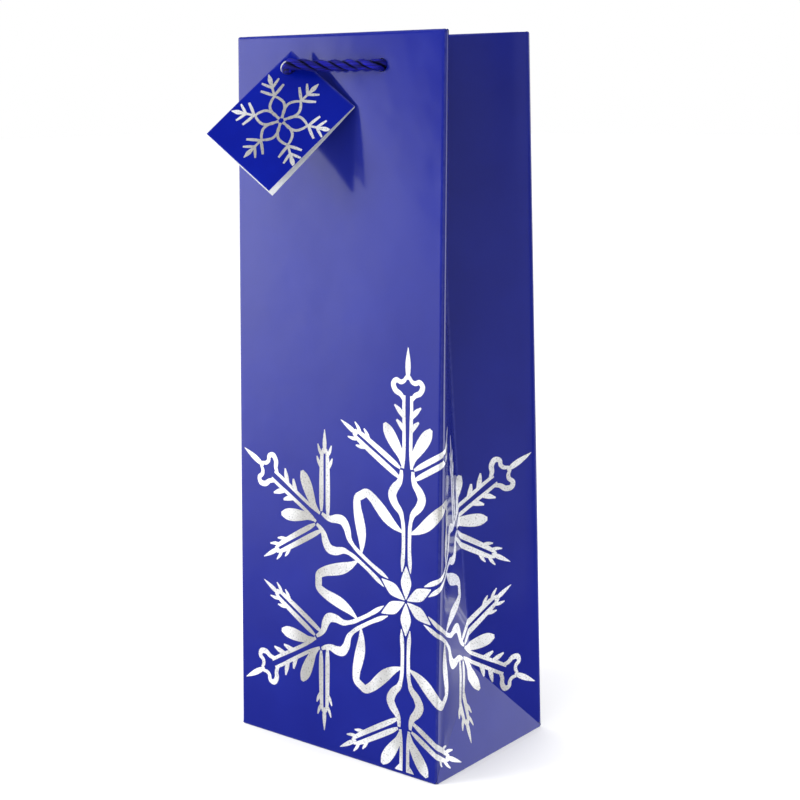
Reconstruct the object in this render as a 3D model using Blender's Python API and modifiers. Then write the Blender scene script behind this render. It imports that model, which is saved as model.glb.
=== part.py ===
"""Wine gift bag: glossy paper bag, twisted rope handles and a folded gift tag.

Metres, +Z up.  The origin is the centre of the base, the front panel faces -Y.
The mouth is partly closed: front and back lean in, and each side is folded in
along its centre crease.
"""
import math

import bpy
from mathutils import Matrix, Vector

# Bag
BAG_WIDTH = 0.127
BAG_DEPTH = 0.090
BAG_HEIGHT = 0.350
TOP_LEAN = 0.012          # how far each big panel leans in at the top
PAPER = 0.00035
GAP = 0.0003
CORNER_SETBACK = 0.00125  # side sheets start this far from the bag's corner edge
CREASE_SETBACK = 0.00025
FOOT_SETBACK = 0.0007     # keeps the foot triangle clear of its slanted creases
SIDE_START = 0.005        # height where the side sheets are wide enough to start

# Top edge
HEM_DEPTH = 0.035
STIFFENER_THICKNESS = 0.0008
STIFFENER_DEPTH = 0.032
HEM_SIDE_MARGIN = 0.005   # keeps hem and stiffener clear of the folded sides
SIDE_HEM_SETBACK = 0.003

# Bottom
FLAP_OVERLAP = 0.014      # each bottom flap runs this far past the centre
TUCK_DEPTH = min(0.040, 0.9 * BAG_DEPTH / 2)
BOARD_THICKNESS = 0.0010
PANEL_FOOT = 0.00005
MOUTH_CLOSES = math.radians(3.0)  # how much further the big panels can lean in

# Side seam
SEAM_WIDTH = 0.014
SEAM_SETBACK = 0.0025
SEAM_FOOT = 0.006

# Rope handles
ROPE_RADIUS = 0.00275
ROPE_HOLE_SPACING = 0.055
ROPE_HOLE_DROP = 0.015
ROPE_STEP = 0.0045
KNOT_RADIUS = 0.0055
KNOT_STRETCH = 1.25

# Gift tag
TAG_FOLD_LENGTH = 0.0425
TAG_LENGTH = 0.056
TAG_CARD = 0.00035
TAG_OPEN_ANGLE = math.radians(5.8)
TAG_HOLE_ROOM = 0.00105
TAG_HOLE_ALONG_FOLD = 0.005
TAG_HOLE_FROM_FOLD = 0.007

# The tag's top corner and the ways of its two edges, as across, up and out of
# the front panel.
TAG_CORNER = Vector((-0.0207, BAG_HEIGHT - 0.0078, 0.0077))
TAG_FOLD_WAY = Vector((0.786, -0.600, -0.149))
TAG_SIDE_WAY = Vector((-0.416, -0.691, 0.592))

LEAN = math.asin(TOP_LEAN / BAG_HEIGHT)
HALF_WIDTH = BAG_WIDTH / 2
HALF_DEPTH = BAG_DEPTH / 2
ROPE_HOLE_HEIGHT = BAG_HEIGHT - ROPE_HOLE_DROP
ROPE_HOLE_RADIUS = ROPE_RADIUS + GAP
TAG_HOLE_RADIUS = ROPE_RADIUS + TAG_HOLE_ROOM


def clear_scene():
    for item in list(bpy.data.objects):
        bpy.data.objects.remove(item, do_unlink=True)


def make_collection(name):
    collection = bpy.data.collections.new(name)
    bpy.context.scene.collection.children.link(collection)
    return collection


def make_material(name, colour, roughness, metallic=0.0):
    material = bpy.data.materials.new(name)
    material.use_nodes = True
    shader = material.node_tree.nodes["Principled BSDF"]
    shader.inputs["Base Color"].default_value = (*colour, 1.0)
    shader.inputs["Roughness"].default_value = roughness
    shader.inputs["Metallic"].default_value = metallic
    return material


def add_object(name, data, material, parent=None):
    item = bpy.data.objects.new(name, data)
    item.data.materials.append(material)
    item.parent = parent
    bag.objects.link(item)
    return item


def add_empty(name, matrix, parent=None):
    item = bpy.data.objects.new(name, None)
    item.parent = parent
    item.matrix_local = matrix
    bag.objects.link(item)
    return item


# ---------------------------------------------------------------- flat sheets

def add_loop(curve, points):
    spline = curve.splines.new("POLY")
    spline.points.add(len(points) - 1)
    for spot, (x, y) in zip(spline.points, points):
        spot.co = (x, y, 0.0, 1.0)
    spline.use_cyclic_u = True


def circle_points(x, y, radius, count=20):
    turns = [2 * math.pi * i / count for i in range(count)]
    return [(x + radius * math.cos(a), y + radius * math.sin(a)) for a in turns]


def add_sheet(name, outline, thickness, material, parent=None, depth=0.0, holes=()):
    """A flat sheet in its parent's XY plane, its top face at z = -depth."""
    curve = bpy.data.curves.new(name, "CURVE")
    curve.dimensions = "2D"
    curve.fill_mode = "BOTH"
    curve.extrude = thickness / 2
    add_loop(curve, outline)
    for x, y, radius in holes:
        add_loop(curve, circle_points(x, y, radius))
    sheet = add_object(name, curve, material, parent)
    sheet.location = (0.0, 0.0, -depth - thickness / 2)
    return sheet


def rectangle(left, right, low, high):
    return [(left, low), (right, low), (right, high), (left, high)]


# --------------------------------------------------------- front and back side

def side_frame(name, outward):
    """Empty on a big panel's bottom crease: X across, Y up the panel, Z out."""
    turn = Matrix.Rotation(0.0 if outward < 0 else math.pi, 4, "Z")
    place = Matrix.Translation((0.0, -HALF_DEPTH, 0.0))
    tilt = Matrix.Rotation(math.pi / 2 - LEAN, 4, "X")
    return add_empty(name, turn @ place @ tilt)


def rope_holes():
    half = ROPE_HOLE_SPACING / 2
    return [(x, ROPE_HOLE_HEIGHT, ROPE_HOLE_RADIUS) for x in (-half, half)]


def add_big_side(side, parent):
    """Panel, top stiffener and turned-in hem, one behind the other."""
    holes = rope_holes()
    inner = HALF_WIDTH - HEM_SIDE_MARGIN
    hem_top = BAG_HEIGHT - PAPER - GAP
    panel = rectangle(-HALF_WIDTH, HALF_WIDTH, PANEL_FOOT, BAG_HEIGHT)
    add_sheet(f"{side}_panel", panel, PAPER, paper_blue, parent, holes=holes)
    card = rectangle(-inner, inner, hem_top - STIFFENER_DEPTH, hem_top)
    add_sheet(f"{side}_stiffener", card, STIFFENER_THICKNESS, grey_card, parent,
              PAPER + GAP, holes)
    hem = rectangle(-inner, inner, BAG_HEIGHT - HEM_DEPTH, hem_top)
    add_sheet(f"{side}_hem", hem, PAPER, paper_inside, parent,
              PAPER + STIFFENER_THICKNESS + 2 * GAP, holes)


def add_seam_flap(parent):
    """Glue flap of the side seam, inside the back panel at the bag's left."""
    outer = HALF_WIDTH - SEAM_SETBACK
    top = BAG_HEIGHT - HEM_DEPTH - GAP
    outline = rectangle(outer - SEAM_WIDTH, outer, SEAM_FOOT, top)
    add_sheet("side_seam_flap", outline, PAPER, paper_inside, parent, PAPER + GAP)


# ---------------------------------------------------------------- folded sides

def crease_inset(z):
    """How far the centre crease lies inside the corner edges at height z."""
    narrowed = HALF_DEPTH - TOP_LEAN * z / BAG_HEIGHT
    return math.sqrt(max(0.0, HALF_DEPTH ** 2 - narrowed ** 2))


# Each side's foot is a triangle leaning in. Its top lies on the centre crease,
# half a depth from the base edge.
APEX_HEIGHT = HALF_DEPTH / (1 + TOP_LEAN / BAG_HEIGHT)
APEX_INSET = math.sqrt(HALF_DEPTH ** 2 - APEX_HEIGHT ** 2)
FOOT_LEAN = math.asin(APEX_INSET / HALF_DEPTH)
CREASE_RUN = BAG_HEIGHT - HALF_DEPTH
CREASE_TOP = APEX_HEIGHT + math.sqrt(
    CREASE_RUN ** 2 - (crease_inset(BAG_HEIGHT) - APEX_INSET) ** 2)


def side_width(v):
    return min(v, HALF_DEPTH)


def side_point(u, v):
    """Right side's front half: u across from the corner edge, v up the paper."""
    corner = Vector((HALF_WIDTH, -HALF_DEPTH + v * math.sin(LEAN), v * math.cos(LEAN)))
    if v <= HALF_DEPTH:
        share = v / HALF_DEPTH
        inner = Vector((HALF_WIDTH - share * APEX_INSET,
                        -HALF_DEPTH + share * HALF_DEPTH,
                        share * APEX_HEIGHT))
    else:
        z = APEX_HEIGHT + (v - HALF_DEPTH) * (CREASE_TOP - APEX_HEIGHT) / CREASE_RUN
        inner = Vector((HALF_WIDTH - crease_inset(z), 0.0, z))
    return corner.lerp(inner, u / side_width(v))


def side_normal(u, v):
    step = 0.0005
    across = side_point(u, v) - side_point(u - step, v)
    up = side_point(u, v) - side_point(u, v - step)
    return across.cross(up).normalized()


def even_steps(low, high, count):
    return [low + (high - low) * i / count for i in range(count + 1)]


def add_side_sheet(name, across, along, material, start, inset, heights):
    """One half of a folded side, a twisted sheet lofted between its creases."""
    columns = 4
    points = []
    for v in heights:
        for u in even_steps(start, side_width(v) - CREASE_SETBACK, columns):
            spot = side_point(u, v) - inset * side_normal(u, v)
            points.append((spot.x * across, spot.y * along, spot.z))
    faces = []
    for i in range(len(heights) - 1):
        for j in range(columns):
            a = i * (columns + 1) + j
            face = (a, a + 1, a + columns + 2, a + columns + 1)
            faces.append(face if across * along > 0 else face[::-1])
    mesh = bpy.data.meshes.new(name)
    mesh.from_pydata(points, [], faces)
    sheet = add_object(name, mesh, material)
    shell = sheet.modifiers.new("Paper", "SOLIDIFY")
    shell.thickness = PAPER
    shell.offset = -1.0
    return sheet


def add_folded_side(side, across):
    """Two halves with their hems, and the triangle at the foot."""
    low = even_steps(SIDE_START, HALF_DEPTH, 4)
    high = even_steps(HALF_DEPTH, BAG_HEIGHT, 10)
    hem = even_steps(BAG_HEIGHT - HEM_DEPTH, BAG_HEIGHT - GAP - PAPER, 3)
    for half, along in (("front", 1), ("rear", -1)):
        add_side_sheet(f"{side}_gusset_{half}_half", across, along, paper_blue,
                       CORNER_SETBACK, 0.0, low + high[1:])
        add_side_sheet(f"{side}_gusset_{half}_hem", across, along, paper_inside,
                       SIDE_HEM_SETBACK, PAPER + GAP, hem)
    turn = Matrix.Rotation(across * math.pi / 2, 4, "Z")
    place = Matrix.Translation((across * HALF_WIDTH, 0.0, 0.0))
    tilt = Matrix.Rotation(math.pi / 2 - FOOT_LEAN, 4, "X")
    foot = add_empty(f"{side}_foot", place @ turn @ tilt)
    reach = HALF_DEPTH - FOOT_SETBACK
    outline = [(GAP - reach, GAP), (reach - GAP, GAP), (0.0, reach)]
    add_sheet(f"{side}_base_triangle", outline, PAPER, paper_blue, foot)


# --------------------------------------------------------------------- bottom

def room_inside(height):
    """Half the width and depth that are free at a height just above the base."""
    wide = HALF_WIDTH - PAPER / math.cos(FOOT_LEAN) - height * math.tan(FOOT_LEAN)
    deep = HALF_DEPTH - PAPER - height * math.tan(LEAN + MOUTH_CLOSES)
    return wide - GAP, deep - GAP


def add_bottom():
    """Flaps and tucks glued over each other, and the board that lies on them."""
    top = PAPER
    for name, way in (("rear_bottom_flap", 1), ("front_bottom_flap", -1)):
        wide, deep = room_inside(top)
        taper = (deep + FLAP_OVERLAP) / 4
        outline = [(-wide, way * deep), (wide, way * deep),
                   (wide - taper, -way * FLAP_OVERLAP),
                   (-wide + taper, -way * FLAP_OVERLAP)]
        add_sheet(name, outline, PAPER, paper_blue, None, -top)
        top += PAPER + GAP
    wide, deep = room_inside(top)
    for name, way in (("left_bottom_tuck", -1), ("right_bottom_tuck", 1)):
        outline = [(way * wide, -deep), (way * wide, deep),
                   (way * (wide - TUCK_DEPTH), deep - TUCK_DEPTH),
                   (way * (wide - TUCK_DEPTH), -deep + TUCK_DEPTH)]
        add_sheet(name, outline, PAPER, paper_inside, None, -top)
    top += GAP + BOARD_THICKNESS
    wide, deep = room_inside(top)
    add_sheet("base_board", rectangle(-wide, wide, -deep, deep), BOARD_THICKNESS,
              grey_card, None, -top)


# ---------------------------------------------------------------- rope handles

HOLE_X = ROPE_HOLE_SPACING / 2

# A route's points are across, up from the rope holes and out of the panel.
TAIL = [(0.0, -0.1050, -0.0085), (0.0003, -0.0650, -0.0078), (0.0003, -0.0300, -0.0068),
        (0.0, -0.0120, -0.0063), (0.0, -0.0038, -0.0061), (0.0, -0.0008, -0.0046)]
FRONT_SPAN = [(-HOLE_X, 0.0, -0.0022), (-HOLE_X, 0.0, 0.0002), (-HOLE_X + 0.0010, -0.0006, 0.0038),
              (-HOLE_X + 0.0042, -0.0017, 0.0075), (-HOLE_X + 0.0078, -0.0006, 0.0111),
              (-HOLE_X + 0.0109, 0.0006, 0.0134), (-HOLE_X + 0.0160, 0.0005, 0.0118),
              (-0.0060, 0.0000, 0.0089), (0.0020, -0.0001, 0.0062), (0.0110, 0.0000, 0.0045),
              (HOLE_X - 0.0080, 0.0, 0.0038), (HOLE_X - 0.0036, 0.0, 0.0037),
              (HOLE_X - 0.0009, 0.0, 0.0027), (HOLE_X, 0.0, 0.0002), (HOLE_X, 0.0, -0.0022)]
BACK_SPAN = [(-HOLE_X, 0.0, -0.0022), (-HOLE_X, 0.0, 0.0002), (-HOLE_X + 0.0009, 0.0, 0.0027),
             (-HOLE_X + 0.0036, 0.0, 0.0037), (-0.0130, -0.0012, 0.0036), (0.0, -0.0017, 0.0035),
             (0.0130, -0.0012, 0.0036), (HOLE_X - 0.0036, 0.0, 0.0037),
             (HOLE_X - 0.0009, 0.0, 0.0027), (HOLE_X, 0.0, 0.0002), (HOLE_X, 0.0, -0.0022)]


def rope_route(span):
    """Left tail, the span across the panel and the right tail."""
    left = [(-HOLE_X + x, y, z) for x, y, z in TAIL]
    right = [(HOLE_X - x, y, z) for x, y, z in reversed(TAIL)]
    return [Vector((x, ROPE_HOLE_HEIGHT + y, z)) for x, y, z in left + span + right]


def smooth_route(points, step):
    """Points about one step apart on a smooth curve through the route."""
    ends = [2 * points[0] - points[1]] + points + [2 * points[-1] - points[-2]]
    dense = []
    for before, start, stop, after in zip(ends, ends[1:], ends[2:], ends[3:]):
        first, second, third = [(b - a).length ** 0.5 for a, b in
                                ((before, start), (start, stop), (stop, after))]
        leave = second * ((start - before) / first - (stop - before) / (first + second)
                          + (stop - start) / second)
        arrive = second * ((stop - start) / second - (after - start) / (second + third)
                           + (after - stop) / third)
        for i in range(20):
            t = i / 20
            dense.append((2 * t ** 3 - 3 * t ** 2 + 1) * start + (t ** 3 - 2 * t ** 2 + t) * leave
                         + (3 * t ** 2 - 2 * t ** 3) * stop + (t ** 3 - t ** 2) * arrive)
    dense.append(points[-1].copy())
    lengths = [0.0]
    for start, stop in zip(dense, dense[1:]):
        lengths.append(lengths[-1] + (stop - start).length)
    count = round(lengths[-1] / step)
    route = []
    at = 0
    for i in range(count + 1):
        goal = lengths[-1] * i / count
        while at < len(lengths) - 2 and lengths[at + 1] < goal:
            at += 1
        share = (goal - lengths[at]) / (lengths[at + 1] - lengths[at])
        route.append(dense[at].lerp(dense[at + 1], share))
    return route


def add_rope(name, span, parent):
    curve = bpy.data.curves.new(name, "CURVE")
    curve.dimensions = "3D"
    curve.bevel_depth = ROPE_RADIUS
    curve.bevel_resolution = 3
    curve.use_fill_caps = True
    route = smooth_route(rope_route(span), ROPE_STEP)
    spline = curve.splines.new("POLY")
    spline.points.add(len(route) - 1)
    for spot, place in zip(spline.points, route):
        spot.co = (*place, 1.0)
    return add_object(name, curve, rope_blue, parent)


def add_knot(name, x, parent):
    """Stopper knot below a tail's end."""
    bpy.ops.mesh.primitive_uv_sphere_add(segments=16, ring_count=10, radius=KNOT_RADIUS)
    knot = bpy.context.object
    knot.name = name
    knot.scale = (1.0, KNOT_STRETCH, 1.0)
    bpy.ops.object.transform_apply(location=False, rotation=False, scale=True)
    for collection in list(knot.users_collection):
        collection.objects.unlink(knot)
    bag.objects.link(knot)
    knot.data.materials.append(rope_blue)
    knot.data.shade_smooth()
    knot.parent = parent
    drop = TAIL[0][1] - GAP - KNOT_RADIUS * KNOT_STRETCH
    knot.location = (x, ROPE_HOLE_HEIGHT + drop, TAIL[0][2])


def add_handle(side, span, parent, names):
    add_rope(f"{side}_handle_rope", span, parent)
    for way, name in zip((-1, 1), names):
        add_knot(f"{side}_{name}_knot", way * HOLE_X, parent)


# ------------------------------------------------------------------- gift tag

def add_tag(parent):
    """Two leaves that meet at the fold, threaded on the front rope."""
    along = TAG_FOLD_WAY.normalized()
    away = along.cross(TAG_SIDE_WAY).normalized()
    side = away.cross(along)
    frame = Matrix((along, side, away)).transposed().to_4x4()
    frame.translation = TAG_CORNER
    fold = add_empty("tag_fold", frame, parent)
    hinge = add_empty("tag_back_fold", Matrix.Rotation(TAG_OPEN_ANGLE, 4, "X"), fold)
    outline = rectangle(0.0, TAG_FOLD_LENGTH, GAP, TAG_LENGTH)
    holes = [(TAG_HOLE_ALONG_FOLD, TAG_HOLE_FROM_FOLD, TAG_HOLE_RADIUS)]
    add_sheet("tag_front_leaf", outline, TAG_CARD, tag_blue, fold, -TAG_CARD, holes)
    add_sheet("tag_back_leaf", outline, TAG_CARD, tag_blue, hinge,
              -2 * TAG_CARD - GAP, holes)


clear_scene()
bag = make_collection("wine_gift_bag")
paper_blue = make_material("paper_blue", (0.030, 0.035, 0.36), 0.22)
paper_inside = make_material("paper_inside", (0.80, 0.81, 0.84), 0.7)
grey_card = make_material("grey_card", (0.42, 0.40, 0.37), 0.9)
rope_blue = make_material("rope_blue", (0.012, 0.012, 0.42), 0.6)
tag_blue = make_material("tag_blue", (0.012, 0.02, 0.45), 0.15)

front_frame = side_frame("front_frame", -1)
back_frame = side_frame("back_frame", 1)
add_big_side("front", front_frame)
add_big_side("back", back_frame)
add_seam_flap(back_frame)
add_folded_side("right", 1)
add_folded_side("left", -1)
add_bottom()
add_handle("front", FRONT_SPAN, front_frame, ("left", "right"))
add_handle("back", BACK_SPAN, back_frame, ("right", "left"))
add_tag(front_frame)
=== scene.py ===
import math
import bmesh
import bpy
from mathutils import Matrix, Vector, noise
from mathutils.geometry import delaunay_2d_cdt


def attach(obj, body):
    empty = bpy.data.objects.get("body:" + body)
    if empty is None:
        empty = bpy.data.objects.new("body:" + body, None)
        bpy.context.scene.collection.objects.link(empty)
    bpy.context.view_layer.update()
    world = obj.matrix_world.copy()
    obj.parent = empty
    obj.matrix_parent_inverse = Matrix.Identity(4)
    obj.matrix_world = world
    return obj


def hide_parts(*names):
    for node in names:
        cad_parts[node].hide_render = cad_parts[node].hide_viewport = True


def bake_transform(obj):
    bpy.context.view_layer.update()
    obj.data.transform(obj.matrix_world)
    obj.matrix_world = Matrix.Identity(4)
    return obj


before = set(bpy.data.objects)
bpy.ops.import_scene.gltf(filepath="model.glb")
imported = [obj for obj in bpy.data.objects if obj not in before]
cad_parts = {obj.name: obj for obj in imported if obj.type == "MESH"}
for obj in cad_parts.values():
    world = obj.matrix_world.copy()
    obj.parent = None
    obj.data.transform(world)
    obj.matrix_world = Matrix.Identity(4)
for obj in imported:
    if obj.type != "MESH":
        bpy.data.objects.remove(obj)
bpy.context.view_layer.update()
print("packed model loaded,", len(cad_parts), "nodes")

# The bag in metres, the same numbers as the CAD source
bag = {
    "width": 0.127,
    "depth": 0.090,
    "height": 0.350,
    "topLean": 0.012,
    "paper": 0.00035,
    "gap": 0.0003,
    "hemDepth": 0.035,
    "stiffener": 0.0008,
    "closes": math.radians(3.0),
    "cornerWrap": 0.00125,  # the corner's rounding reaches this far to each side
    "footRadius": 0.00045,
    "panelRipple": 0.00022,  # how far the big panels are from flat
    "sideRipple": 0.00045,
    "cornerBulge": 0.0018,  # the sides swell this much beside each corner
    "bulgeReach": 0.005,
}
halfWidth = bag["width"] / 2
halfDepth = bag["depth"] / 2
lean = math.asin(bag["topLean"] / bag["height"])
sinLean = math.sin(lean)
cosLean = math.cos(lean)
apexHeight = halfDepth / (1 + bag["topLean"] / bag["height"])
apexInset = math.sqrt(halfDepth ** 2 - apexHeight ** 2)
footLean = math.asin(apexInset / halfDepth)
stackRadius = (2 * bag["paper"] + bag["stiffener"] + 2 * bag["gap"]) / 2
sideFoldRadius = (2 * bag["paper"] + bag["gap"]) / 2


def panelPoint(x, s, d):
    # across, up the front panel and out of it
    return Vector((x, s * sinLean - d * cosLean - halfDepth, s * cosLean + d * sinLean))


def turned(spot, way):
    # way 1 is the front, -1 the back
    return Vector((spot.x * way, spot.y * way, spot.z))


def creaseInset(z):
    narrowed = halfDepth - bag["topLean"] * z / bag["height"]
    return math.sqrt(max(0.0, halfDepth ** 2 - narrowed ** 2))


creaseRun = bag["height"] - halfDepth
creaseTop = apexHeight + math.sqrt(creaseRun ** 2 - (creaseInset(bag["height"]) - apexInset) ** 2)


def sidePoint(u, v):
    # right side's front half: u in from the corner edge, v up the paper
    corner = panelPoint(halfWidth, v, 0.0)
    if v <= halfDepth:
        share = v / halfDepth
        inner = Vector((halfWidth - share * apexInset, share * halfDepth - halfDepth, share * apexHeight))
    else:
        z = apexHeight + (v - halfDepth) * (creaseTop - apexHeight) / creaseRun
        inner = Vector((halfWidth - creaseInset(z), 0.0, z))
    return corner.lerp(inner, u / max(1e-5, min(v, halfDepth)))


def sideNormal(u, v):
    step = 0.0005
    across = sidePoint(u + step, v) - sidePoint(u - step, v)
    up = sidePoint(u, v + step) - sidePoint(u, v - step)
    return across.cross(up).normalized()


def fade(value, low, high):
    t = max(0.0, min(1.0, (value - low) / (high - low)))
    return t * t * (3 - 2 * t)


def sideSurface(u, v, d):
    # the side with its swelling beside the corner, d out of it
    share = u / bag["bulgeReach"]
    swell = bag["cornerBulge"] * share * math.exp(1 - share) * (0.25 + 0.75 * fade(v, 0.03, 0.16))
    swell *= fade(min(v, halfDepth) - u, 0.0, 0.012)
    low = max(v, 0.002)
    return sidePoint(u, v) + (d + swell) * sideNormal(min(u, 0.95 * low), low)


def panelRipple(x, s, seed):
    calm = fade(halfWidth - abs(x), 0.001, 0.014) * fade(s, 0.0, 0.025)
    calm *= fade(bag["height"] - 0.034 - s, 0.0, 0.035)
    return calm * bag["panelRipple"] * noise.noise(Vector((x * 16, s * 9, seed)))


def sideRipple(u, v, seed):
    calm = fade(u, 0.001, 0.010) * fade(min(v, halfDepth) - u, 0.0, 0.010)
    calm *= fade(v, 0.01, 0.04) * fade(bag["height"] - 0.030 - v, 0.0, 0.035)
    return calm * bag["sideRipple"] * noise.noise(Vector((u * 26, v * 11, seed)))


# ---- materials

def newMaterial(name):
    material = bpy.data.materials.new(name)
    material.use_nodes = True
    nodes = material.node_tree.nodes
    nodes.clear()
    shader = nodes.new("ShaderNodeBsdfPrincipled")
    output = nodes.new("ShaderNodeOutputMaterial")
    material.node_tree.links.new(shader.outputs[0], output.inputs[0])
    return material, shader


def addNode(material, kind, inputs=None, **settings):
    node = material.node_tree.nodes.new(kind)
    for key, value in settings.items():
        setattr(node, key, value)
    for key, value in (inputs or {}).items():
        if isinstance(value, bpy.types.NodeSocket):
            material.node_tree.links.new(value, node.inputs[key])
        else:
            node.inputs[key].default_value = value
    return node


def linkTo(material, output, socket):
    material.node_tree.links.new(output, socket)


def noiseOf(material, coords, scale, detail=4.0, rough=0.55, stretch=(1, 1, 1)):
    mapping = addNode(material, "ShaderNodeMapping", {"Vector": coords, "Scale": stretch})
    node = addNode(material, "ShaderNodeTexNoise", {
        "Vector": mapping.outputs[0], "Scale": scale, "Detail": detail, "Roughness": rough})
    return node.outputs["Fac"]


def ramp(material, factor, stops):
    node = addNode(material, "ShaderNodeValToRGB", {"Fac": factor})
    bar = node.color_ramp.elements
    bar[0].position, bar[0].color = stops[0][0], (*stops[0][1], 1)
    bar[1].position, bar[1].color = stops[-1][0], (*stops[-1][1], 1)
    for place, colour in stops[1:-1]:
        stop = bar.new(place)
        stop.color = (*colour, 1)
    return node.outputs["Color"]


def spanOf(material, value, low, high, toLow, toHigh, smooth=False):
    node = addNode(material, "ShaderNodeMapRange", {
        "Value": value, "From Min": low, "From Max": high, "To Min": toLow, "To Max": toHigh})
    if smooth:
        node.interpolation_type = "SMOOTHSTEP"
    return node.outputs["Result"]


def mathOf(material, kind, first, second=0.0):
    node = addNode(material, "ShaderNodeMath", {0: first, 1: second}, operation=kind)
    return node.outputs[0]


def mixOf(material, factor, first, second):
    node = addNode(material, "ShaderNodeMix", data_type="RGBA")
    for socket, value in ((node.inputs[0], factor), (node.inputs[6], first), (node.inputs[7], second)):
        if isinstance(value, bpy.types.NodeSocket):
            linkTo(material, value, socket)
        elif socket == node.inputs[0]:
            socket.default_value = value
        else:
            socket.default_value = (*value, 1)
    return node.outputs[2]


def objectCoords(material):
    return addNode(material, "ShaderNodeTexCoord").outputs["Object"]


def wearOf(material):
    return addNode(material, "ShaderNodeAttribute", attribute_name="foldWear").outputs["Fac"]


def addBump(material, shader, height, strength, distance):
    bump = addNode(material, "ShaderNodeBump", {"Height": height, "Strength": strength, "Distance": distance})
    linkTo(material, bump.outputs[0], shader.inputs["Normal"])
    return bump.outputs[0]


def dress(material, shader, colour, grain, smoothest, roughest):
    # the base colour, and a roughness that follows the grain
    linkTo(material, colour, shader.inputs["Base Color"])
    roughness = spanOf(material, grain, 0.3, 0.7, smoothest, roughest)
    linkTo(material, roughness, shader.inputs["Roughness"])


laminate = {
    "deep": (0.0062, 0.0108, 0.178),
    "light": (0.0080, 0.0145, 0.212),
    "worn": (0.16, 0.18, 0.52),
    "coatRoughness": 0.10,
}


def makeLaminate(name, deep, light, wornShare, coatRoughness, coatWeight=1.0):
    # printed paper under a glossy film
    material, shader = newMaterial(name)
    coords = objectCoords(material)
    cloud = noiseOf(material, coords, 22.0, 3.0)
    base = ramp(material, cloud, [(0.3, deep), (0.7, light)])
    grain = noiseOf(material, coords, 2600.0, 2.0)
    speck = spanOf(material, grain, 0.35, 0.75, 0.0, 0.12)
    base = mixOf(material, speck, base, tuple(min(1.0, c * 1.6) for c in light))
    patchy = noiseOf(material, coords, 420.0, 4.0)
    worn = mathOf(material, "MULTIPLY", wearOf(material), spanOf(material, patchy, 0.35, 0.65, 0.35, 1.0))
    worn = mathOf(material, "MULTIPLY", worn, wornShare)
    base = mixOf(material, worn, base, laminate["worn"])
    dress(material, shader, base, cloud, 0.36, 0.46)
    shader.inputs["Specular IOR Level"].default_value = 0.05
    shader.inputs["Coat Weight"].default_value = coatWeight
    shader.inputs["Coat Roughness"].default_value = coatRoughness
    shader.inputs["Coat IOR"].default_value = 1.5
    wave = noiseOf(material, coords, 38.0, 2.0, 0.4)
    fibre = noiseOf(material, coords, 1500.0, 3.0)
    height = mathOf(material, "ADD", mathOf(material, "MULTIPLY", wave, 0.9),
                    mathOf(material, "MULTIPLY", fibre, 0.018))
    bumped = addBump(material, shader, height, 0.35, 0.0006)
    linkTo(material, bumped, shader.inputs["Coat Normal"])
    return material


def makePlainPaper():
    material, shader = newMaterial("whitePaperInside")
    coords = objectCoords(material)
    fibre = noiseOf(material, coords, 900.0, 6.0, 0.65, (1, 1, 3))
    cloud = noiseOf(material, coords, 30.0, 3.0)
    tone = ramp(material, fibre, [(0.25, (0.66, 0.67, 0.69)), (0.75, (0.80, 0.81, 0.83))])
    tone = mixOf(material, spanOf(material, cloud, 0.3, 0.7, 0.0, 0.25), tone, (0.62, 0.64, 0.70))
    dress(material, shader, tone, fibre, 0.70, 0.85)
    shader.inputs["Specular IOR Level"].default_value = 0.3
    addBump(material, shader, fibre, 0.25, 0.0003)
    return material


def makeCutEdge():
    # the paper's white core where a sheet was cut
    material, shader = newMaterial("whiteCutEdge")
    coords = objectCoords(material)
    fibre = noiseOf(material, coords, 1800.0, 5.0)
    tone = ramp(material, fibre, [(0.3, (0.62, 0.63, 0.68)), (0.7, (0.90, 0.91, 0.94))])
    dress(material, shader, tone, fibre, 0.6, 0.8)
    addBump(material, shader, fibre, 0.3, 0.0002)
    return material


def makeGreyCard():
    material, shader = newMaterial("greyBoard")
    coords = objectCoords(material)
    pulp = noiseOf(material, coords, 260.0, 6.0, 0.7)
    fleck = addNode(material, "ShaderNodeTexVoronoi", {"Vector": coords, "Scale": 900.0})
    tone = ramp(material, pulp, [(0.25, (0.30, 0.285, 0.26)), (0.75, (0.46, 0.44, 0.41))])
    dark = spanOf(material, fleck.outputs["Distance"], 0.0, 0.16, 0.6, 0.0)
    tone = mixOf(material, dark, tone, (0.16, 0.15, 0.15))
    dress(material, shader, tone, pulp, 0.82, 0.95)
    shader.inputs["Specular IOR Level"].default_value = 0.2
    addBump(material, shader, pulp, 0.4, 0.0004)
    return material


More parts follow.
